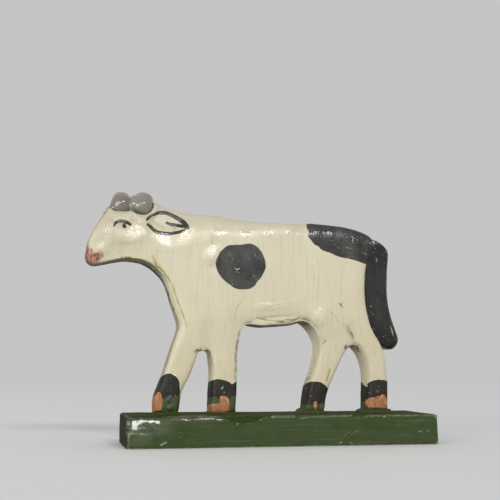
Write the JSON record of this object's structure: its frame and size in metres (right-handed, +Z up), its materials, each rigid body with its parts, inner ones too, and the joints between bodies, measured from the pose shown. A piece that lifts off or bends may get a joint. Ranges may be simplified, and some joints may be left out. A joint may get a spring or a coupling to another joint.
{
  "type": "cow figurine",
  "caption": "Carved wooden cow ornament, brush-painted cream with black patches, standing on a flat green board.",
  "frame": {"origin": "middle of the board's underside, on the surface that the figurine stands on", "axes": "+X along the board towards the tail, so the cow faces -X; +Y across the board, away from the cow's left side; +Z up"},
  "size_m": [0.1424, 0.034, 0.1004],
  "materials": {
    "green_paint": "gloss enamel brushed on wood, worn at the edges",
    "cream_paint": "gloss enamel brushed on carved wood",
    "horn_paint": "gloss enamel on carved wood",
    "black_paint": "gloss enamel on carved wood",
    "nail_steel": "plain steel wire nail",
    "filler": "wood filler painted over with the board's enamel"
  },
  "bodies": {
    "root": {"base_board": "green_paint", "cow_body": "cream_paint", "front_horn": "horn_paint", "rear_horn": "horn_paint", "tail": "black_paint", "foot_nail_leading_front": "nail_steel", "foot_nail_trailing_front": "nail_steel", "foot_nail_leading_hind": "nail_steel", "foot_nail_trailing_hind": "nail_steel", "foot_bead_leading_front": "filler", "foot_bead_trailing_front": "filler", "foot_bead_leading_hind": "filler", "foot_bead_trailing_hind": "filler"}
  },
  "joints": []
}
